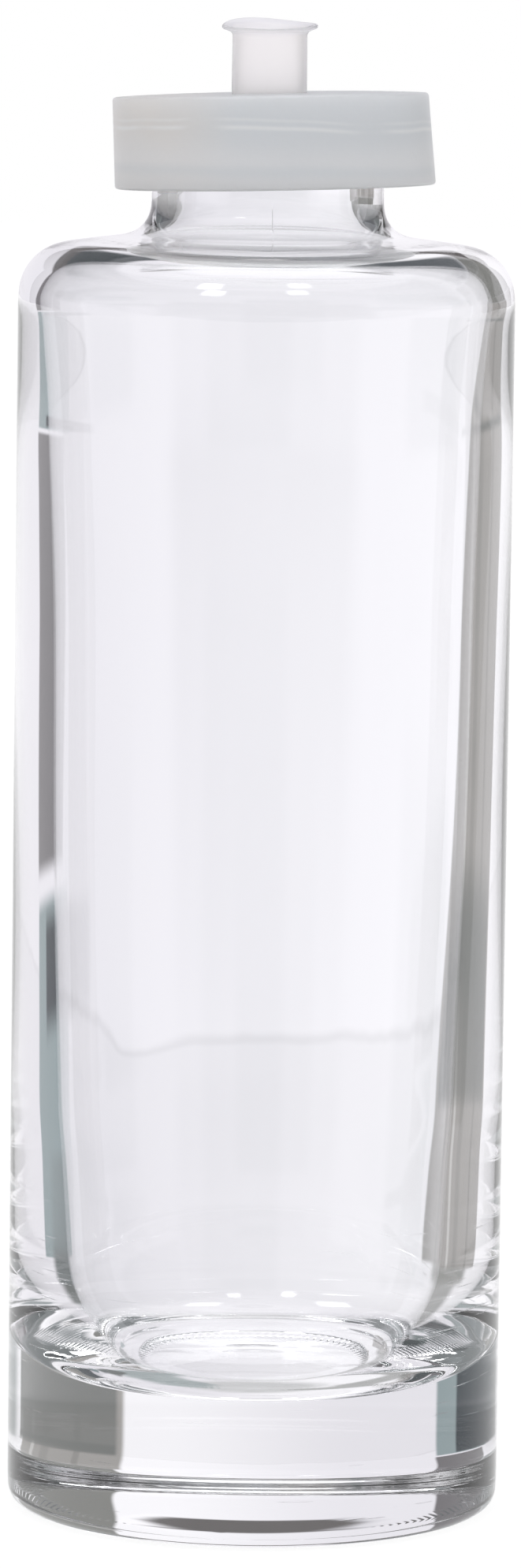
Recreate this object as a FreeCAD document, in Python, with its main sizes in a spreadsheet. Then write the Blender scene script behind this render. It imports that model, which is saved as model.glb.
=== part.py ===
"""Wasp trap: a heavy clear-glass bottle, a thick milky push-on cap and a flared entry tube through the cap.

Millimetres, +Z up along the bottle's axis, origin at the centre of the face that the bottle stands on. Every
piece is a solid of revolution. Its half-section is a sketch made of corners joined by straight lines, each
corner rounded by its own radius, and every number in it is bound to a cell of the sheet "sizes".
"""

import FreeCAD, Part
import math
import os
import Sketcher

START, END = 1, 2  # the ends of a line or an arc, as Sketcher numbers them
POINT_ITSELF = 1
GROUND_AXIS, UPRIGHT_AXIS = -1, -2  # the sketch's own axes; the first one starts at its origin
SAME_PLACE = 1e-6

DIMENSIONS = [
    # the bottle's outside
    ("body_radius", 37.5, "outside of the straight glass wall"),
    ("foot_round", 2.0, "rounding where the wall meets the underside"),
    ("kick_radius", 24.0, "radius of the shallow hollow in the underside"),
    ("kick_depth", 1.4, "depth of that hollow at its centre"),
    ("kick_step", 0.6, "depth of that hollow just inside its edge"),
    ("kick_dome_reach", 11.4, "where the dome's level top would meet its slope"),
    ("kick_dome_round", 300.0, "sweep of the dome"),
    ("kick_bevel", 1.2, "how far the hollow's edge leans inwards"),
    ("kick_round", 1.4, "rounding along both sides of that edge"),
    ("shoulder_height", 191.4, "where the wall would meet the sloping shoulder"),
    ("shoulder_round", 8.0, "rounding from the wall into the shoulder"),
    ("shoulder_rise", 2.6, "how much the shoulder climbs on its way to the neck"),
    ("neck_radius", 17.45, "outside of the straight neck"),
    ("neck_round", 4.5, "sweep from the shoulder into the neck"),
    ("lip_height", 210.3, "top of the neck, where the cap rests"),
    ("lip_round", 1.2, "rounding of the lip's inner and outer edges"),
    # the bottle's inside, from the bottom up
    ("floor_height", 19.7, "thickness of the solid glass at its centre"),
    ("floor_radius", 24.0, "where the floor would meet the heel"),
    ("floor_rise", 0.3, "how much the floor climbs on its way there"),
    ("floor_round", 9.0, "rounding at the edge of the floor"),
    ("heel_radius", 28.5, "inside radius where the heel turns upright"),
    ("heel_height", 33.0, "height of that turn"),
    ("heel_round", 40.0, "sweep of that turn"),
    ("shank_radius", 30.2, "inside radius of the thick lower wall"),
    ("shank_height", 60.0, "height of that point"),
    ("shank_round", 150.0, "sweep of that change"),
    ("waist_radius", 31.8, "inside radius at the middle of the wall"),
    ("waist_height", 134.0, "height where the wall begins to get thinner"),
    ("waist_round", 400.0, "sweep of that change"),
    ("chest_radius", 32.7, "inside radius higher up the thinning wall"),
    ("chest_height", 166.5, "height of that point"),
    ("chest_round", 120.0, "sweep of that change"),
    ("vault_radius", 34.7, "where the inside wall would meet the inside of the shoulder"),
    ("vault_height", 189.0, "height of that corner"),
    ("vault_round", 6.0, "rounding of that corner"),
    ("throat_height", 191.6, "where the inside of the shoulder would meet the bore"),
    ("throat_round", 9.0, "rounding from the shoulder's inside into the bore"),
    ("bore_radius", 13.6, "inside of the neck"),
    ("bore_overrun", 2.0, "how far the hollow is cut past the lip"),
    # the cap
    ("plate_thickness", 4.55, "glass lip to the cap's top face"),
    ("skirt_depth", 9.4, "how far the cap reaches down the neck"),
    ("cap_top_radius", 23.75, "outside of the cap at its top face"),
    ("cap_foot_radius", 24.15, "outside of the cap at its lower edge"),
    ("cap_round", 0.5, "rounding of the cap's edges"),
    ("sliding_gap", 0.05, "radial gap of a soft piece on the piece it slides along"),
    # the entry tube
    ("tube_radius", 5.6, "outside of the tube"),
    ("tube_wall", 0.7, "wall of the tube"),
    ("tube_below_plate", 6.8, "tube hanging under the cap's plate, inside the neck"),
    ("tube_above_plate", 9.25, "cap's top face to the root of the flared lip"),
    ("flare_reach", 1.6, "how far the lip stands out from the tube"),
    ("flare_rise", 0.65, "how much the lip climbs on its way out"),
    ("flare_thickness", 0.6, "thickness of the lip"),
    ("flare_round", 0.28, "rounding of the lip's edge"),
    ("flare_sweep", 0.9, "rounding under the lip"),
    ("mouth_sweep", 1.6, "rounding from the lip into the tube's mouth"),
]


class Size:
    """A length with the sheet expression that drives it, so that one value both draws and binds a sketch."""

    def __init__(self, value, text):
        self.value = value
        self.text = text

    def __add__(self, other):
        return Size(self.value + other.value, f"({self.text} + {other.text})")

    def __sub__(self, other):
        return Size(self.value - other.value, f"({self.text} - {other.text})")


class Sizes:
    """The driving dimensions, as attributes such as sizes.neck_radius."""

    def __init__(self, document):
        sheet = document.addObject("Spreadsheet::Sheet", "sizes")
        for row, (alias, number, meaning) in enumerate(DIMENSIONS, start=1):
            sheet.set(f"A{row}", alias)
            sheet.set(f"B{row}", str(number))
            sheet.set(f"C{row}", meaning)
            sheet.setAlias(f"B{row}", alias)
        document.recompute()
        for alias, _, _ in DIMENSIONS:
            setattr(self, alias, Size(float(sheet.get(alias)), f"sizes.{alias}"))


def unit(start, end):
    """The direction from one point to another."""
    length = math.dist(start, end)
    return (end[0] - start[0]) / length, (end[1] - start[1]) / length


def rounded_corner(before, corner, after, radius):
    """Where an arc of that radius leaves the first line and meets the second, and the arc itself."""
    arriving = unit(before, corner)
    leaving = unit(corner, after)
    turn = math.atan2(
        arriving[0] * leaving[1] - arriving[1] * leaving[0],
        arriving[0] * leaving[0] + arriving[1] * leaving[1],
    )
    reach = radius * math.tan(abs(turn) / 2)
    first = (corner[0] - arriving[0] * reach, corner[1] - arriving[1] * reach)
    last = (corner[0] + leaving[0] * reach, corner[1] + leaving[1] * reach)
    side = math.copysign(radius, turn)
    centre = (first[0] - arriving[1] * side, first[1] + arriving[0] * side)
    angles = [math.atan2(p[1] - centre[1], p[0] - centre[0]) for p in (first, last)]
    if turn < 0:
        angles.reverse()
    circle = Part.Circle(
        FreeCAD.Vector(centre[0], centre[1], 0), FreeCAD.Vector(0, 0, 1), radius
    )
    return first, last, Part.ArcOfCircle(circle, angles[0], angles[1]), turn > 0


def bind_constraint(sketch, name, size, *definition):
    """Adds a dimension to the sketch, gives it a name and lets the sheet drive it."""
    index = sketch.addConstraint(Sketcher.Constraint(*definition, size.value))
    sketch.renameConstraint(index, name)
    sketch.setExpression(f"Constraints.{name}", size.text)


def place_point(sketch, geometry, end, name, radius, height):
    """Dimensions a point from the sketch's origin. A radius of None puts it on the upright axis, a height of
    None on the ground axis."""
    for kind, axis, suffix, size in (
        ("DistanceX", UPRIGHT_AXIS, "radius", radius),
        ("DistanceY", GROUND_AXIS, "height", height),
    ):
        if size is None:
            sketch.addConstraint(Sketcher.Constraint("PointOnObject", geometry, end, axis))
        else:
            origin = (GROUND_AXIS, START)
            bind_constraint(sketch, f"{name}_{suffix}", size, kind, *origin, geometry, end)


def half_section(body, name, corners):
    """A closed sketch in the body's XZ plane. Each corner is (name, radius, height, rounding), where None
    stands for a radius or height of zero and for a sharp corner."""
    sketch = body.newObject("Sketcher::SketchObject", name)
    plane = next(f for f in body.Origin.OriginFeatures if f.Role == "XZ_Plane")
    sketch.AttachmentSupport = [(plane, "")]
    sketch.MapMode = "FlatFace"

    points = [
        (radius.value if radius else 0.0, height.value if height else 0.0)
        for _, radius, height, _ in corners
    ]
    count = len(corners)
    arrivals, departures, arcs = [], [], {}
    for i, (_, _, _, rounding) in enumerate(corners):
        if rounding is None:
            arrivals.append(points[i])
            departures.append(points[i])
            continue
        first, last, arc, turns_left = rounded_corner(
            points[i - 1], points[i], points[(i + 1) % count], rounding.value
        )
        arrivals.append(first)
        departures.append(last)
        arcs[i] = (sketch.addGeometry(arc, False), turns_left)

    lines = []
    for i in range(count):
        ends = [FreeCAD.Vector(p[0], p[1], 0) for p in (departures[i], arrivals[(i + 1) % count])]
        lines.append(sketch.addGeometry(Part.LineSegment(*ends), False))

    for i, (corner_name, radius, height, rounding) in enumerate(corners):
        into, out_of = lines[i - 1], lines[i]
        if rounding is None:
            sketch.addConstraint(Sketcher.Constraint("Coincident", into, END, out_of, START))
            place_point(sketch, out_of, START, corner_name, radius, height)
            continue
        arc, turns_left = arcs[i]
        arc_start, arc_end = (START, END) if turns_left else (END, START)
        sketch.addConstraint(Sketcher.Constraint("Tangent", into, END, arc, arc_start))
        sketch.addConstraint(Sketcher.Constraint("Tangent", arc, arc_end, out_of, START))
        bind_constraint(sketch, f"{corner_name}_rounding", rounding, "Radius", arc)
        mark = sketch.addGeometry(Part.Point(FreeCAD.Vector(*points[i], 0)), True)
        for line in (into, out_of):
            sketch.addConstraint(
                Sketcher.Constraint("PointOnObject", mark, POINT_ITSELF, line)
            )
        place_point(sketch, mark, POINT_ITSELF, corner_name, radius, height)
    return sketch


def turn(body, kind, name, sketch):
    """A full turn of a half-section about the body's upright axis, as a Revolution or a Groove."""
    feature = body.newObject(f"PartDesign::{kind}", name)
    feature.Profile = sketch
    feature.ReferenceAxis = (sketch, ["V_Axis"])
    feature.Angle = 360
    sketch.Visibility = False
    body.Document.recompute()
    return feature


def new_body(document, label):
    body = document.addObject("PartDesign::Body", label)
    body.Label = label
    return body


def circular_edges(shape, height, radii):
    """Names of the shape's round edges at that height whose radius is one of those given."""
    names = []
    for number, edge in enumerate(shape.Edges, start=1):
        if not isinstance(edge.Curve, Part.Circle):
            continue
        level = math.isclose(edge.Curve.Center.z, height, abs_tol=SAME_PLACE)
        wanted = any(math.isclose(edge.Curve.Radius, radius, abs_tol=SAME_PLACE) for radius in radii)
        if level and wanted:
            names.append(f"Edge{number}")
    return names


def glass_bottle(document, s):
    """Thick-walled bottle: solid base with a shallow domed hollow under it, straight wall, flat shoulder and
    short neck."""
    body = new_body(document, "glass_bottle")
    neck_foot = s.shoulder_height + s.shoulder_rise
    outside = half_section(body, "outside", [
        ("kick_centre", None, s.kick_depth, None),
        ("kick_dome", s.kick_dome_reach, s.kick_depth, s.kick_dome_round),
        ("kick_inner", s.kick_radius - s.kick_bevel, s.kick_step, s.kick_round),
        ("kick_outer", s.kick_radius, None, s.kick_round),
        ("foot", s.body_radius, None, s.foot_round),
        ("shoulder", s.body_radius, s.shoulder_height, s.shoulder_round),
        ("neck", s.neck_radius, neck_foot, s.neck_round),
        ("lip", s.neck_radius, s.lip_height, None),
        ("top_centre", None, s.lip_height, None),
    ])
    turn(body, "Revolution", "blown_glass", outside)
    over_lip = s.lip_height + s.bore_overrun
    inside = half_section(body, "inside", [
        ("floor_centre", None, s.floor_height, None),
        ("floor", s.floor_radius, s.floor_height + s.floor_rise, s.floor_round),
        ("heel", s.heel_radius, s.heel_height, s.heel_round),
        ("shank", s.shank_radius, s.shank_height, s.shank_round),
        ("waist", s.waist_radius, s.waist_height, s.waist_round),
        ("chest", s.chest_radius, s.chest_height, s.chest_round),
        ("vault", s.vault_radius, s.vault_height, s.vault_round),
        ("throat", s.bore_radius, s.throat_height, s.throat_round),
        ("bore_end", s.bore_radius, over_lip, None),
        ("air_centre", None, over_lip, None),
    ])
    hollow = turn(body, "Groove", "hollow", inside)
    lip_edges = circular_edges(
        hollow.Shape, s.lip_height.value, (s.neck_radius.value, s.bore_radius.value)
    )
    lip = body.newObject("PartDesign::Fillet", "fire_polished_lip")
    lip.Base = (hollow, lip_edges)
    lip.setExpression("Radius", s.lip_round.text)
    body.Tip = lip
    return body


def cap(document, s):
    """Thick soft cap: a plate that rests on the lip and a skirt that grips the neck. Its own origin is at
    the centre of its lower edge."""
    body = new_body(document, "cap")
    seat = s.skirt_depth
    top = s.skirt_depth + s.plate_thickness
    hole = s.tube_radius + s.sliding_gap
    grip = s.neck_radius + s.sliding_gap
    section = half_section(body, "section", [
        ("hole_foot", hole, seat, None),
        ("seat", grip, seat, None),
        ("grip_foot", grip, None, s.cap_round),
        ("skirt_foot", s.cap_foot_radius, None, s.cap_round),
        ("rim", s.cap_top_radius, top, s.cap_round),
        ("hole_top", hole, top, s.cap_round),
    ])
    turn(body, "Revolution", "moulded_cap", section)
    body.setExpression("Placement.Base.z", (s.lip_height - s.skirt_depth).text)
    return body


def entry_tube(document, s):
    """Thin tube with a flared lip, pushed through the cap's hole. Its own origin is at the centre of its
    lower end."""
    body = new_body(document, "entry_tube")
    inner = s.tube_radius - s.tube_wall
    flare = s.tube_radius + s.flare_reach
    root = s.tube_below_plate + s.plate_thickness + s.tube_above_plate
    edge = root + s.flare_rise
    section = half_section(body, "section", [
        ("inner_foot", inner, None, None),
        ("outer_foot", s.tube_radius, None, None),
        ("under_flare", s.tube_radius, root, s.flare_sweep),
        ("flare_low", flare, edge, s.flare_round),
        ("flare_high", flare, edge + s.flare_thickness, s.flare_round),
        ("mouth", inner, root + s.flare_thickness, s.mouth_sweep),
    ])
    turn(body, "Revolution", "drawn_tube", section)
    body.setExpression("Placement.Base.z", (s.lip_height - s.tube_below_plate).text)
    return body


def faults(document):
    """Everything in the document that failed to build."""
    found = []
    for item in document.Objects:
        if any(state in ("Invalid", "Error") for state in item.State):
            found.append(f"{item.Label}: {item.State}")
    return found


def main():
    document = FreeCAD.newDocument("wasp_trap")
    s = Sizes(document)
    bodies = [glass_bottle(document, s), cap(document, s), entry_tube(document, s)]
    document.recompute()
    found = faults(document)
    if found:
        raise RuntimeError("; ".join(found))
    os.makedirs("parts", exist_ok=True)
    for body in bodies:
        shape = body.Shape
        if shape.isNull() or not shape.isValid() or len(shape.Solids) != 1:
            raise RuntimeError(f"{body.Label} is not one valid solid")
        shape.exportStep(f"parts/{body.Label}.step")
        box = shape.optimalBoundingBox(True, False)
        print(
            f"{body.Label}: {shape.Volume / 1000:.2f} cm3,"
            f" {box.XLength:.2f} x {box.YLength:.2f} x {box.ZLength:.2f} mm,"
            f" z {box.ZMin:.2f} to {box.ZMax:.2f}"
        )


main()
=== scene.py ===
"""Wasp trap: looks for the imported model.

Metres, +Z up, origin at the centre of the face that the bottle stands on. The outlines are in millimetres.
"""

import math

import bpy
from mathutils import Matrix, Vector


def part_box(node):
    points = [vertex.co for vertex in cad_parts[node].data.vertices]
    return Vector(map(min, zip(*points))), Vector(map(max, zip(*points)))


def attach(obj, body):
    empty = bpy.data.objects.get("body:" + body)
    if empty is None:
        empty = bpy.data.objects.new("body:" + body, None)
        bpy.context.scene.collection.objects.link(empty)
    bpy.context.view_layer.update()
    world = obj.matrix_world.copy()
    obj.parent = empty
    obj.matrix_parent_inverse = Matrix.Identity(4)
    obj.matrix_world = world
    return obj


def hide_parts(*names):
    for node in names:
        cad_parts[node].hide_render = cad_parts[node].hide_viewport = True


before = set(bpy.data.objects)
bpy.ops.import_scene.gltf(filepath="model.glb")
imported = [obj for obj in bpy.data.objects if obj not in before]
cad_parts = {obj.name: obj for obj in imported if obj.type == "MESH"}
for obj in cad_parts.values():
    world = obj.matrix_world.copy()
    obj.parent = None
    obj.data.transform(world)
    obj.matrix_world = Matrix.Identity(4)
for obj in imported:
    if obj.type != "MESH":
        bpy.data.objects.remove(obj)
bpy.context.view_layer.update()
MM = 0.001
TURN = 2 * math.pi

# ---------------------------------------------------------------- sizes, in millimetres

BODY_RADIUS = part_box("glass_bottle")[1].x / MM
LIP_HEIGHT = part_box("glass_bottle")[1].z / MM
NECK_RADIUS = 17.45
BORE_RADIUS = 13.6
SHOULDER_HEIGHT = 191.4
SHOULDER_RISE = 2.6
HEEL_ROUND = 2.0  # rounding of the bottle's lower edge
SHOULDER_ROUND = 8.0
NECK_FILLET = 4.5
LIP_ROUND = 1.2
KICK_RADIUS = 24.0  # the shallow hollow in the underside
KICK_DEPTH = 1.4
KICK_BEVEL = 1.2
KICK_STEP = 0.6  # depth of the hollow just inside its bevel
KICK_ROUND = 1.4
KICK_DOME = 300.0
HOLLOW = [  # the inside below the bore, from the throat down: radius, height, rounding
    (BORE_RADIUS, 191.6, 9.0),
    (34.7, 189.0, 6.0),
    (32.7, 166.5, 120.0),
    (31.8, 134.0, 400.0),
    (30.2, 60.0, 150.0),
    (28.5, 33.0, 40.0),
    (24.0, 20.0, 9.0),
    (0, 19.7, 0),
]
FINE_STEP = 0.5  # spacing at which the glass outline is softened
SMOOTHING = 12  # passes that soften it
LONGEST_STEP = 1.8  # what is kept of it then: steps of about that length on straight glass
TURN_STEP = math.radians(5)  # and about that turn on bends
GLASS_SEGMENTS = 256
WAVE = 0.05  # how far the blown inner wall waves in and out along its height
OVAL = 0.08  # how far that wall is out of round
KNURLS = 96  # fine ridges round the bearing ring

CAP_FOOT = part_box("cap")[0].z / MM
CAP_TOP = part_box("cap")[1].z / MM
CAP_TOP_RADIUS = 23.75
CAP_FOOT_RADIUS = 24.15
CAP_ROUND = 0.5
CAP_TILT = math.radians(1.6)  # the cap sits a little askew on the neck
CAP_LEAN = (1.1, 0.2)  # how far the soft skirt's foot and top are pushed sideways
CAP_SAG = 0.25  # how much the top droops at its rim
SLIDING_GAP = 0.06  # between a soft piece and what it slides along

TUBE_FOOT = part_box("entry_tube")[0].z / MM
TUBE_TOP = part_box("entry_tube")[1].z / MM
TUBE_RADIUS = 5.6
TUBE_WALL = 0.7
TUBE_TAPER = 0.010  # how much wider, as a share, the tube is at the cap than at its top
FLARE_RADIUS = 7.2
FLARE_RISE = 0.65
FLARE_THICKNESS = 0.6
FLARE_ROUND = 0.28
FLARE_ZONE = 5.5  # length below the top over which the pressed lip bends
LIP_TIP = 0.115  # slope of the tipped lip
LIP_DROP = 0.1
LIP_FOLD = 0.30  # height of the lip's warp, where it folds up on two sides
LIP_RIPPLE = 0.10

CAMERA_PLACE = (0.0, -1077.8, 229.95)
CAMERA_PITCH = math.radians(-6.328)
CAMERA_ROLL = 0.0127  # radians
CAMERA_LENS = 163.95

# ---------------------------------------------------------------- outlines and turned shapes


def rounded(corners, step=math.radians(5)):
    """Points along straight lines between corners (radius, height, rounding), with an arc at each rounded
    corner."""
    points = []
    last = len(corners) - 1
    for i, (x, z, rounding) in enumerate(corners):
        corner = Vector((x, z))
        if not rounding or i in (0, last):
            points.append(corner)
            continue
        before = Vector(corners[i - 1][:2])
        after = Vector(corners[i + 1][:2])
        arriving = (corner - before).normalized()
        leaving = (after - corner).normalized()
        turn = math.atan2(
            arriving.x * leaving.y - arriving.y * leaving.x, arriving.dot(leaving)
        )
        start = corner - arriving * rounding * math.tan(abs(turn) / 2)
        side = math.copysign(1, turn)
        normal = Vector((-arriving.y, arriving.x)) * side
        centre = start + normal * rounding
        count = max(2, math.ceil(abs(turn) / step))
        for k in range(count + 1):
            spin = Matrix.Rotation(turn * k / count, 2)
            points.append(centre + spin @ (start - centre))
    return points


def respaced(points, measures, count):
    """That many steps along the outline, equal in the given running measure."""
    even = [points[0]]
    i = 0
    for k in range(1, count):
        along = measures[-1] * k / count
        while i < len(points) - 2 and measures[i + 1] < along:
            i += 1
        share = (along - measures[i]) / (measures[i + 1] - measures[i])
        even.append(points[i].lerp(points[i + 1], share))
    even.append(points[-1])
    return even


def softened(points, spacing, passes):
    """The outline at even spacing with its curvature smoothed, as molten glass settles; its ends stay put."""
    lengths = [0.0]
    for a, b in zip(points, points[1:]):
        lengths.append(lengths[-1] + (b - a).length)
    even = respaced(points, lengths, round(lengths[-1] / spacing))
    for _ in range(passes):
        middle = [(a + 2 * b + c) / 4 for a, b, c in zip(even, even[1:], even[2:])]
        even = [even[0], *middle, even[-1]]
    return even


def thinned(points, longest, turn):
    """The same outline with longer steps where it is nearly straight: about that length, or that turn."""
    costs = [0.0]
    for a, b, c in zip(points, points[1:], [*points[2:], points[-1]]):
        bend = (b - a).angle(c - b, 0.0)
        costs.append(costs[-1] + min(1.0, (b - a).length / longest + bend / turn))
    return respaced(points, costs, math.ceil(costs[-1]))


def divided(points, longest):
    """The same outline with no step longer than that."""
    fine = [points[0]]
    for a, b in zip(points, points[1:]):
        count = max(1, math.ceil((b - a).length / longest))
        fine += [a.lerp(b, k / count) for k in range(1, count + 1)]
    return fine


def turned(name, outline, segments, place, closed=False):
    """A mesh of an outline turned about +Z. place(radius, height, angle) gives a point in millimetres."""
    verts, rings = [], []
    for p in outline:
        on_axis = p.x < 1e-6
        ring = []
        for k in range(1 if on_axis else segments):
            angle = TURN * k / segments
            ring.append(len(verts))
            verts.append([MM * along for along in place(p.x, p.y, angle)])
        rings.append(ring)
    faces = []
    pairs = list(zip(rings, rings[1:]))
    if closed:
        pairs.append((rings[-1], rings[0]))
    for low, high in pairs:
        for k in range(segments):
            after = (k + 1) % segments
            if len(low) == 1:
                faces.append((low[0], high[after], high[k]))
            elif len(high) == 1:
                faces.append((low[k], low[after], high[0]))
            else:
                faces.append((low[k], low[after], high[after], high[k]))
    mesh = bpy.data.meshes.new(name)
    mesh.from_pydata(verts, [], faces)
    mesh.polygons.foreach_set("use_smooth", [True] * len(mesh.polygons))
    mesh.update()
    piece = bpy.data.objects.new(name, mesh)
    bpy.context.scene.collection.objects.link(piece)
    return piece


def clamped(share):
    return max(0.0, min(1.0, share))


def glass_outline():
    """The bottle's half-section, from the middle of the underside up the outside, over the lip and down the
    inside."""
    sharp = rounded([
        (0, KICK_DEPTH, 0),
        ((KICK_RADIUS - KICK_BEVEL) / 2, KICK_DEPTH, KICK_DOME),
        (KICK_RADIUS - KICK_BEVEL, KICK_STEP, KICK_ROUND),
        (KICK_RADIUS, 0, KICK_ROUND),
        (BODY_RADIUS, 0, HEEL_ROUND),
        (BODY_RADIUS, SHOULDER_HEIGHT, SHOULDER_ROUND),
        (NECK_RADIUS, SHOULDER_HEIGHT + SHOULDER_RISE, NECK_FILLET),
        (NECK_RADIUS, LIP_HEIGHT, LIP_ROUND),
        (BORE_RADIUS, LIP_HEIGHT, LIP_ROUND),
        *HOLLOW,
    ])
    return thinned(softened(sharp, FINE_STEP, SMOOTHING), LONGEST_STEP, TURN_STEP)


def glass_place(radius, height, angle):
    """The inner wall waves a little, as in blown glass, between the heel and the shoulder."""
    inside = radius < BODY_RADIUS - 1.5
    if inside:
        share = clamped((height - 30) / 30) * clamped((186 - height) / 20)
        wave = (
            WAVE * math.sin(height / 13 + 2 * angle)
            + WAVE * math.sin(height / 19 - 3 * angle + 1)
            + OVAL * math.cos(2 * angle + 0.7)
        )
        radius += share * wave
    return radius * math.cos(angle), radius * math.sin(angle), height


def make_glass():
    piece = turned("clear_bottle", glass_outline(), GLASS_SEGMENTS, glass_place)
    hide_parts("glass_bottle")
    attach(piece, "bottle")
    piece.data.materials.append(glass_material())
    return piece


def cap_place(radius, height, angle):
    """The soft cap sits askew and leans sideways, while its inside still hugs the neck."""
    x = radius * math.cos(angle)
    y = radius * math.sin(angle)
    on_neck = radius < NECK_RADIUS + CAP_ROUND
    edge = CAP_ROUND + 0.1
    if on_neck and CAP_FOOT + edge < height < CAP_TOP - edge:
        return x, y, height
    share = (height - CAP_FOOT) / (CAP_TOP - CAP_FOOT)
    lift = x * math.tan(CAP_TILT)
    sag = CAP_SAG * (x / CAP_TOP_RADIUS) ** 2 * share
    lean = CAP_LEAN[0] + (CAP_LEAN[1] - CAP_LEAN[0]) * share
    lean *= clamped((radius - NECK_RADIUS - 1) / 3)
    return x + lean, y, height + lift - sag


def closed_outline(corners, longest):
    """A closed outline through those corners, which start and end at the same point."""
    return divided(rounded(corners), longest)[:-1]


def make_cap():
    hole = TUBE_RADIUS + SLIDING_GAP
    grip = NECK_RADIUS + SLIDING_GAP
    outline = closed_outline([
        (hole, LIP_HEIGHT, 0),
        (grip, LIP_HEIGHT, 0),
        (grip, CAP_FOOT, CAP_ROUND),
        (CAP_FOOT_RADIUS, CAP_FOOT, CAP_ROUND),
        (CAP_TOP_RADIUS, CAP_TOP, CAP_ROUND),
        (hole, CAP_TOP, CAP_ROUND),
        (hole, LIP_HEIGHT, 0),
    ], 1.5)
    piece = turned("soft_cap", outline, 192, cap_place, closed=True)
    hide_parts("cap")
    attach(piece, "cap")
    piece.data.materials.append(cap_material())
    return piece


def tube_place(radius, height, angle):
    """The flared lip was pressed by hand: it tips towards -Y and is a little warped, and the tube tapers."""
    share = clamped((height - TUBE_TOP + FLARE_ZONE) / FLARE_ZONE) ** 2
    x = radius * math.cos(angle)
    y = radius * math.sin(angle)
    warp = LIP_FOLD * math.cos(angle - math.radians(125)) ** 2 + LIP_RIPPLE * math.cos(3 * angle)
    rise = share * (LIP_TIP * y + warp * radius / FLARE_RADIUS - LIP_DROP)
    above_cap = height > CAP_TOP
    wider = TUBE_TAPER * (TUBE_TOP - height) / (TUBE_TOP - CAP_TOP) if above_cap else 0
    return x * (1 + wider), y * (1 + wider), height + rise


def make_tube():
    inner = TUBE_RADIUS - TUBE_WALL
    root = TUBE_TOP - FLARE_RISE - FLARE_THICKNESS
    outline = closed_outline([
        (inner, TUBE_FOOT, 0),
        (TUBE_RADIUS, TUBE_FOOT, 0),
        (TUBE_RADIUS, root, 0.9),
        (FLARE_RADIUS, root + FLARE_RISE, FLARE_ROUND),
        (FLARE_RADIUS, TUBE_TOP, FLARE_ROUND),
        (inner, root + FLARE_THICKNESS, 1.6),
        (inner, TUBE_FOOT, 0),
    ], 1.0)
    piece = turned("flared_tube", outline, 128, tube_place, closed=True)
    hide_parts("entry_tube")
    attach(piece, "tube")
    piece.data.materials.append(tube_material())
    return piece


# ---------------------------------------------------------------- materials


class Nodes:
    """Short-hand for building a node tree."""

    def __init__(self, tree):
        self.tree = tree
        tree.nodes.clear()

    def add(self, kind, **settings):
        node = self.tree.nodes.new(kind)
        for key, value in settings.items():
            setattr(node, key, value)
        return node

    def link(self, source, target):
        self.tree.links.new(source, target)

    def split(self, vector):
        """Its x, y and z."""
        node = self.add("ShaderNodeSeparateXYZ")
        self.link(vector, node.inputs[0])
        return node.outputs

    def noise(self, vector, scale, detail):
        node = self.add("ShaderNodeTexNoise")
        self.link(vector, node.inputs["Vector"])
        node.inputs["Scale"].default_value = scale
        node.inputs["Detail"].default_value = detail
        return node.outputs["Fac"]

    def band(self, value, low, high, soft):
        """1 between low and high and 0 outside, with soft edges."""
        rise = self.step(value, low - soft, low + soft)
        fall = self.step(value, high - soft, high + soft)
        return self.maths("SUBTRACT", rise, fall)

    def blend(self, first, second, share):
        node = self.add("ShaderNodeMix", data_type="RGBA")
        self.link(share, node.inputs["Factor"])
        for name, colour in (("A", first), ("B", second)):
            if isinstance(colour, tuple):
                node.inputs[name].default_value = (*colour, 1)
            else:
                self.link(colour, node.inputs[name])
        return node.outputs["Result"]

    def distance_from_axis(self, x, y):
        squares = [self.maths("MULTIPLY", along, along) for along in (x, y)]
        return self.maths("SQRT", self.maths("ADD", *squares))

    def stretched(self, vector, scale, rotation=(0, 0, 0)):
        node = self.add("ShaderNodeMapping")
        node.inputs["Scale"].default_value = scale
        node.inputs["Rotation"].default_value = rotation
        self.link(vector, node.inputs["Vector"])
        return node.outputs[0]

    def step(self, value, low, high, bottom=0.0):
        """A smooth rise from bottom to 1 as the value goes from low to high."""
        node = self.add("ShaderNodeMapRange", interpolation_type="SMOOTHSTEP")
        self.link(value, node.inputs["Value"])
        node.inputs["From Min"].default_value = low
        node.inputs["From Max"].default_value = high
        node.inputs["To Min"].default_value = bottom
        return node.outputs[0]

    def bump(self, shader, height, strength, distance):
        node = self.add("ShaderNodeBump")
        node.inputs["Strength"].default_value = strength
        node.inputs["Distance"].default_value = distance
        self.link(height, node.inputs["Height"])
        self.link(node.outputs[0], shader.inputs["Normal"])

    def maths(self, operation, *values, clamp=False):
        node = self.add("ShaderNodeMath", operation=operation, use_clamp=clamp)
        for socket, value in zip(node.inputs, values):
            if isinstance(value, (int, float)):
                socket.default_value = value
            else:
                self.link(value, socket)
        return node.outputs[0]


def new_material(name):
    material = bpy.data.materials.new(name)
    material.use_nodes = True
    return material, Nodes(material.node_tree)


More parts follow.
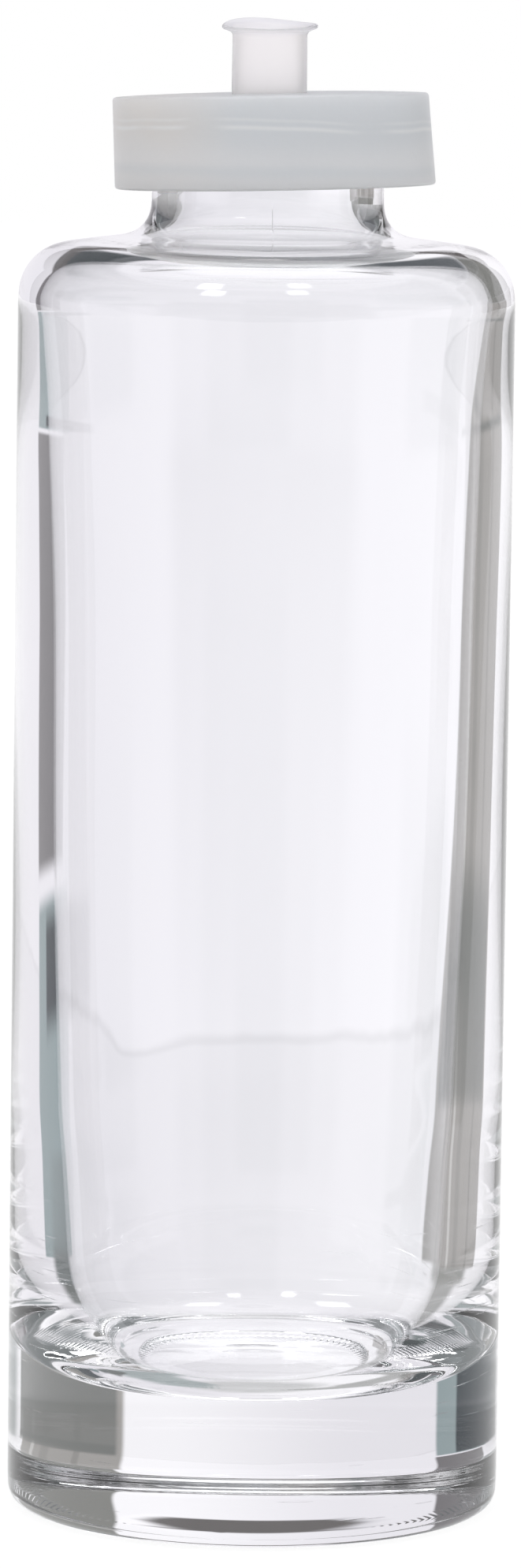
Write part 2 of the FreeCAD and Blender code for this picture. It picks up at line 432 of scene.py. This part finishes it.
def glass_material():
    """Clear soda glass: pressed waviness, a knurled bearing ring, scuffs round the heel and a mould seam."""
    material, n = new_material("clear_glass")
    out = n.add("ShaderNodeOutputMaterial")
    shader = n.add("ShaderNodeBsdfPrincipled")
    shader.inputs["Base Color"].default_value = (0.992, 0.996, 1.0, 1)
    shader.inputs["IOR"].default_value = 1.52
    shader.inputs["Transmission Weight"].default_value = 1.0
    place = n.add("ShaderNodeTexCoord").outputs["Object"]
    x, y, z = n.split(place)
    radius = n.distance_from_axis(x, y)
    angle = n.maths("ARCTAN2", y, x)

    waves = n.noise(place, scale=28, detail=1)
    ridges = n.maths("SINE", n.maths("MULTIPLY", angle, KNURLS))
    underside = n.band(z, -0.001, 0.0016, soft=0.0004)
    bearing_ring = n.maths("MULTIPLY", n.band(radius, 0.0205, 0.0243, soft=0.0008), underside)
    knurl = n.maths("MULTIPLY", ridges, bearing_ring)
    front = n.band(angle, -1.532, -1.524, soft=0.003)
    seam = n.maths("MULTIPLY", front, n.band(z, 0.1945, 0.1985, soft=0.001))
    seam = n.maths("MULTIPLY", seam, n.band(radius, 0.0160, 0.020, soft=0.0005))

    streaks = n.stretched(place, (60, 60, 2600), rotation=(0.06, 0.04, 0))
    lines = n.noise(streaks, scale=1, detail=2)
    lowest_part = n.band(z, 0.004, 0.045, soft=0.010)
    scuffs = n.maths("MULTIPLY", n.step(lines, 0.71, 0.75), lowest_part)
    n.link(n.maths("MULTIPLY", scuffs, 0.30), shader.inputs["Roughness"])

    height = n.maths("ADD", n.maths("MULTIPLY", waves, 0.03), n.maths("MULTIPLY", knurl, 0.018))
    height = n.maths("ADD", height, n.maths("MULTIPLY", seam, 0.06))
    height = n.maths("SUBTRACT", height, n.maths("MULTIPLY", scuffs, 0.008))
    n.bump(shader, height, strength=1.0, distance=MM)
    n.link(shader.outputs[0], out.inputs["Surface"])
    return material


def cap_material():
    """Milky silicone: bluish clouds and a bluish ring, with painted light: a warm painted reflection on the
    left side, painted light on the lower part, and painted pale highlights at the edge of the glass lip
    inside it.
    """
    material, n = new_material("milky_silicone")
    out = n.add("ShaderNodeOutputMaterial")
    shader = n.add("ShaderNodeBsdfPrincipled")
    shader.inputs["Roughness"].default_value = 0.38
    shader.inputs["Sheen Weight"].default_value = 0.25
    shader.inputs["Sheen Roughness"].default_value = 0.3
    shader.inputs["Subsurface Weight"].default_value = 1.0
    shader.inputs["Subsurface Radius"].default_value = (1.0, 1.0, 1.0)
    shader.inputs["Subsurface Scale"].default_value = 0.005
    shader.inputs["Transmission Weight"].default_value = 0.15
    shader.inputs["IOR"].default_value = 1.42
    place = n.add("ShaderNodeTexCoord").outputs["Object"]
    x, _, z = n.split(place)
    clouds = n.noise(n.stretched(place, (26, 26, 150)), scale=1, detail=3)
    tint = n.blend((0.73, 0.755, 0.78), (0.82, 0.83, 0.845), clouds)

    # painted warm reflection: a mottled, warmer and lighter tint over the left side of the cap
    mottling = n.maths("ADD", n.noise(place, scale=90, detail=2), 0.35)
    warm = n.maths("MULTIPLY", n.band(x, -0.05, -0.0095, soft=0.006), mottling)
    tint = n.blend(tint, (0.83, 0.80, 0.775), warm)

    wobble = n.maths("SUBTRACT", n.noise(place, scale=55, detail=1), 0.5)
    level = n.maths("ADD", z, n.maths("MULTIPLY", wobble, 0.0016))
    # painted highlight: thin, patchy, wavering pale arcs at the height of the glass lip's edges inside the
    # cap
    painted_lip_highlights = n.maths(
        "ADD", n.band(level, 0.2096, 0.2101, soft=0.0003), n.band(level, 0.2109, 0.2111, soft=0.0003)
    )
    patches = n.step(n.noise(place, scale=62, detail=1), 0.39, 0.55)
    painted_lip_highlights = n.maths("MULTIPLY", painted_lip_highlights, patches, clamp=True)
    tint = n.blend(tint, (0.93, 0.93, 0.93), n.maths("MULTIPLY", painted_lip_highlights, 0.75))

    # painted light: the cap's lower part, below a height of 207.5 mm, is lightened
    painted_lower_light = n.maths("MULTIPLY", n.band(z, 0.1, 0.2075, soft=0.003), 0.55)
    tint = n.blend(tint, (0.95, 0.94, 0.945), painted_lower_light)
    bluish_ring = n.maths("MULTIPLY", n.band(level, 0.2028, 0.2042, soft=0.0008), 0.25)
    tint = n.blend(tint, (0.68, 0.73, 0.77), bluish_ring)
    n.link(tint, shader.inputs["Base Color"])
    grain = n.maths("ADD", n.noise(place, scale=1400, detail=3), n.maths("MULTIPLY", clouds, 2.0))
    n.bump(shader, grain, strength=0.06, distance=MM)
    n.link(shader.outputs[0], out.inputs["Surface"])
    return material


def tube_material():
    """Thin translucent tubing with faint draw lines, and painted shade that greys the flared lip."""
    material, n = new_material("translucent_plastic")
    out = n.add("ShaderNodeOutputMaterial")
    shader = n.add("ShaderNodeBsdfPrincipled")
    shader.inputs["Roughness"].default_value = 0.6
    shader.inputs["IOR"].default_value = 1.15
    shader.inputs["Transmission Weight"].default_value = 1.0
    place = n.add("ShaderNodeTexCoord").outputs["Object"]
    x, y, _ = n.split(place)
    draw_lines = n.noise(n.stretched(place, (260, 260, 30)), scale=1, detail=2)
    tint = n.blend((0.965, 0.955, 0.945), (1.0, 0.99, 0.975), draw_lines)
    radius = n.distance_from_axis(x, y)
    # painted shade: the flared lip, out past the tube's wall, is tinted greyer than the rest
    lip = n.step(radius, 0.0054, 0.0060)
    tint = n.blend(tint, (0.90, 0.90, 0.91), lip)
    n.link(tint, shader.inputs["Base Color"])
    n.bump(shader, draw_lines, strength=0.08, distance=MM)
    n.link(shader.outputs[0], out.inputs["Surface"])
    return material


def floor_material():
    """A pale table that is lit evenly, so it gives off most of its light itself."""
    material, n = new_material("pale_floor")
    out = n.add("ShaderNodeOutputMaterial")
    glow = n.add("ShaderNodeEmission")
    glow.inputs["Color"].default_value = (1, 1, 1, 1)
    glow.inputs["Strength"].default_value = 0.92
    matt = n.add("ShaderNodeBsdfDiffuse")
    matt.inputs["Color"].default_value = (0.15, 0.15, 0.15, 1)
    both = n.add("ShaderNodeAddShader")
    n.link(glow.outputs[0], both.inputs[0])
    n.link(matt.outputs[0], both.inputs[1])
    n.link(both.outputs[0], out.inputs["Surface"])
    return material


# ---------------------------------------------------------------- studio

# Dark and bright panels round the bottle, which its thick walls bend into view. Each row says from and to
# which azimuth it reaches, in degrees from +Y towards +X, then its lowest and highest elevation, its colour,
# and how soft its sides and its upper and lower edges are. A later panel stands in front of the ones before
# it. One that crosses -Y, at 180 degrees, takes two rows.
PANELS = [
    # a bright ceiling and a dimmer floor
    (-190.0, 190.0, 62.0, 91.0, (1.7, 1.7, 1.72), 6.0, 6.0),
    (-190.0, 190.0, -91.0, -64.0, (0.60, 0.60, 0.61), 6.0, 8.0),
    # the dark room behind the camera and at both sides
    (128.0, 190.0, -8.0, 46.0, (0.15, 0.165, 0.17), 6.0, 4.0),
    (-190.0, -128.0, -8.0, 46.0, (0.15, 0.165, 0.17), 6.0, 4.0),
    (70.0, 128.0, 3.0, 46.0, (0.20, 0.22, 0.23), 6.0, 2.0),
    (-128.0, -62.0, 3.0, 46.0, (0.16, 0.185, 0.19), 6.0, 2.0),
    # darker ends of the table, to the right and behind the camera
    (70.0, 104.0, -26.0, -9.5, (0.30, 0.33, 0.34), 4.0, 1.5),
    (168.0, 190.0, -26.0, -9.5, (0.30, 0.33, 0.34), 4.0, 1.5),
    (-190.0, -150.0, -26.0, -9.5, (0.30, 0.33, 0.34), 4.0, 1.5),
    # shade on the table, to the left and to the right
    (-112.0, -56.0, -75.0, -17.0, (0.36, 0.40, 0.41), 9.0, 4.0),
    (40.0, 66.0, -75.0, -17.0, (0.42, 0.42, 0.42), 5.0, 4.0),
    (-75.0, -48.0, -36.0, -20.0, (0.16, 0.17, 0.17), 5.0, 1.5),
    # black cards high up, and a low one across the far side
    (-135.0, -14.0, 19.0, 47.0, (0.05, 0.06, 0.065), 2.5, 2.0),
    (20.0, 60.0, 25.0, 60.0, (0.08, 0.09, 0.10), 3.0, 3.0),
    (-44.0, 48.0, 18.6, 25.0, (0.12, 0.11, 0.11), 4.0, 0.6),
    # two softboxes behind the camera
    (-155.0, -145.0, 34.0, 44.0, (20.0, 20.0, 20.5), 3.0, 3.0),
    (157.0, 167.0, 40.0, 48.0, (14.0, 14.0, 14.2), 3.0, 3.0),
    # the left card, its two lower parts and the black line between them
    (-62.0, -37.0, -9.5, 25.0, (0.145, 0.135, 0.145), 0.7, 0.2),
    (-66.0, -37.5, -18.6, -10.0, (0.25, 0.31, 0.325), 0.7, 0.2),
    (-66.0, -46.0, -26.0, -17.8, (0.15, 0.165, 0.17), 3.0, 1.0),
    (-70.0, -45.5, -11.8, -10.3, (0.0, 0.01, 0.02), 0.7, 0.3),
    (-84.0, -66.0, -11.8, -10.3, (0.0, 0.01, 0.02), 3.0, 0.3),
    # the right card: its foot, its face with two darker folds and a pale one, a dark line, its upper part
    (32.0, 64.0, -25.0, -19.0, (0.30, 0.30, 0.29), 4.0, 2.5),
    (22.5, 62.0, -20.0, 4.0, (0.345, 0.33, 0.32), 0.7, 0.8),
    (33.5, 35.5, -20.0, 4.0, (0.27, 0.26, 0.25), 0.5, 0.8),
    (45.0, 49.0, -20.0, 4.0, (0.29, 0.28, 0.27), 0.8, 0.8),
    (53.0, 55.0, -20.0, 4.0, (0.55, 0.54, 0.53), 0.6, 0.8),
    (24.0, 65.0, -11.8, -10.4, (0.165, 0.17, 0.165), 0.7, 0.6),
    (24.0, 65.0, 4.0, 25.0, (0.22, 0.22, 0.21), 0.7, 0.8),
]


def above_table(n, place, azimuth, elevation):
    """Degrees above the table's far edge, which is highest in the middle and isn't quite straight."""
    sideways = n.maths("MULTIPLY", n.maths("ADD", azimuth, 0.5), 1 / 3)
    squared = n.maths("MULTIPLY", sideways, sideways)
    spread = n.maths("SUBTRACT", n.maths("SQRT", n.maths("ADD", squared, 1)), 1)
    above = n.maths("ADD", n.maths("ADD", elevation, 9.55), n.maths("MULTIPLY", spread, 0.13))
    above = n.maths("ADD", above, n.maths("MULTIPLY", n.band(azimuth, -10.5, -5.0, soft=2.5), 0.2))
    crease = n.maths("SUBTRACT", n.noise(place, scale=26, detail=1), 0.5)
    return n.maths("ADD", above, n.maths("MULTIPLY", crease, 0.12))


def backdrop_colour(n, place, azimuth, elevation):
    """A soft slope from left to right, a little darker below the table's edge and darkest along it."""
    tone = n.blend((0.84, 0.82, 0.87), (1.0, 0.985, 1.02), n.step(azimuth, -18, 16))
    above = above_table(n, place, azimuth, elevation)
    table = n.step(above, -0.05, 0.05, bottom=0.945)
    edge_line = n.maths("MULTIPLY", n.band(above, -0.05, 0.05, soft=0.05), -0.09)
    colour = n.add("ShaderNodeMix", data_type="RGBA", blend_type="MULTIPLY")
    colour.inputs["Factor"].default_value = 1
    n.link(tone, colour.inputs["A"])
    n.link(n.maths("ADD", table, edge_line), colour.inputs["B"])
    return colour.outputs["Result"]


def make_world():
    """The studio lights the glass and shows in it. What the camera sees past the glass is plain white."""
    world = bpy.data.worlds.new("studio")
    bpy.context.scene.world = world
    world.use_nodes = True
    n = Nodes(world.node_tree)
    out = n.add("ShaderNodeOutputWorld")
    place = n.add("ShaderNodeTexCoord").outputs["Generated"]
    east, north, up = n.split(place)
    azimuth = n.maths("DEGREES", n.maths("ARCTAN2", east, north))
    elevation = n.maths("DEGREES", n.maths("ARCSINE", up))

    result = backdrop_colour(n, place, azimuth, elevation)
    for start, end, low, high, colour, side_blur, edge_blur in PANELS:
        across = n.band(azimuth, start, end, side_blur)
        along = n.band(elevation, low, high, edge_blur)
        mask = n.maths("MULTIPLY", across, along, clamp=True)
        result = n.blend(result, colour, mask)
    studio = n.add("ShaderNodeBackground")
    n.link(result, studio.inputs["Color"])
    plain = n.add("ShaderNodeBackground")
    plain.inputs["Color"].default_value = (1, 1, 1, 1)
    seen = n.add("ShaderNodeLightPath")
    both = n.add("ShaderNodeMixShader")
    n.link(seen.outputs["Is Camera Ray"], both.inputs["Fac"])
    n.link(studio.outputs[0], both.inputs[1])
    n.link(plain.outputs[0], both.inputs[2])
    n.link(both.outputs[0], out.inputs["Surface"])


def make_floor():
    half = 6.0
    level = -0.0002  # just under the bottle's bearing face
    corners = [(-half, -half, level), (half, -half, level), (half, half, level), (-half, half, level)]
    mesh = bpy.data.meshes.new("floor")
    mesh.from_pydata(corners, [], [(0, 1, 2, 3)])
    floor = bpy.data.objects.new("floor", mesh)
    bpy.context.scene.collection.objects.link(floor)
    mesh.materials.append(floor_material())
    floor.visible_transmission = False


def make_camera():
    data = bpy.data.cameras.new("camera")
    data.lens = CAMERA_LENS
    data.clip_start = 0.01
    data.clip_end = 100
    camera = bpy.data.objects.new("camera", data)
    bpy.context.scene.collection.objects.link(camera)
    upright = math.pi / 2
    camera.matrix_world = (
        Matrix.Translation(Vector(CAMERA_PLACE) * MM)
        @ Matrix.Rotation(upright + CAMERA_PITCH, 4, "X")
        @ Matrix.Rotation(CAMERA_ROLL, 4, "Z")
    )
    bpy.context.scene.camera = camera


make_world()
make_floor()
make_camera()
make_glass()
make_cap()
make_tube()
bpy.context.scene.view_settings.view_transform = "Standard"

# light crosses many walls of thick glass
bounces = bpy.context.scene.cycles
bounces.max_bounces = 40
bounces.transmission_bounces = 40
bounces.glossy_bounces = 20
bounces.diffuse_bounces = 12
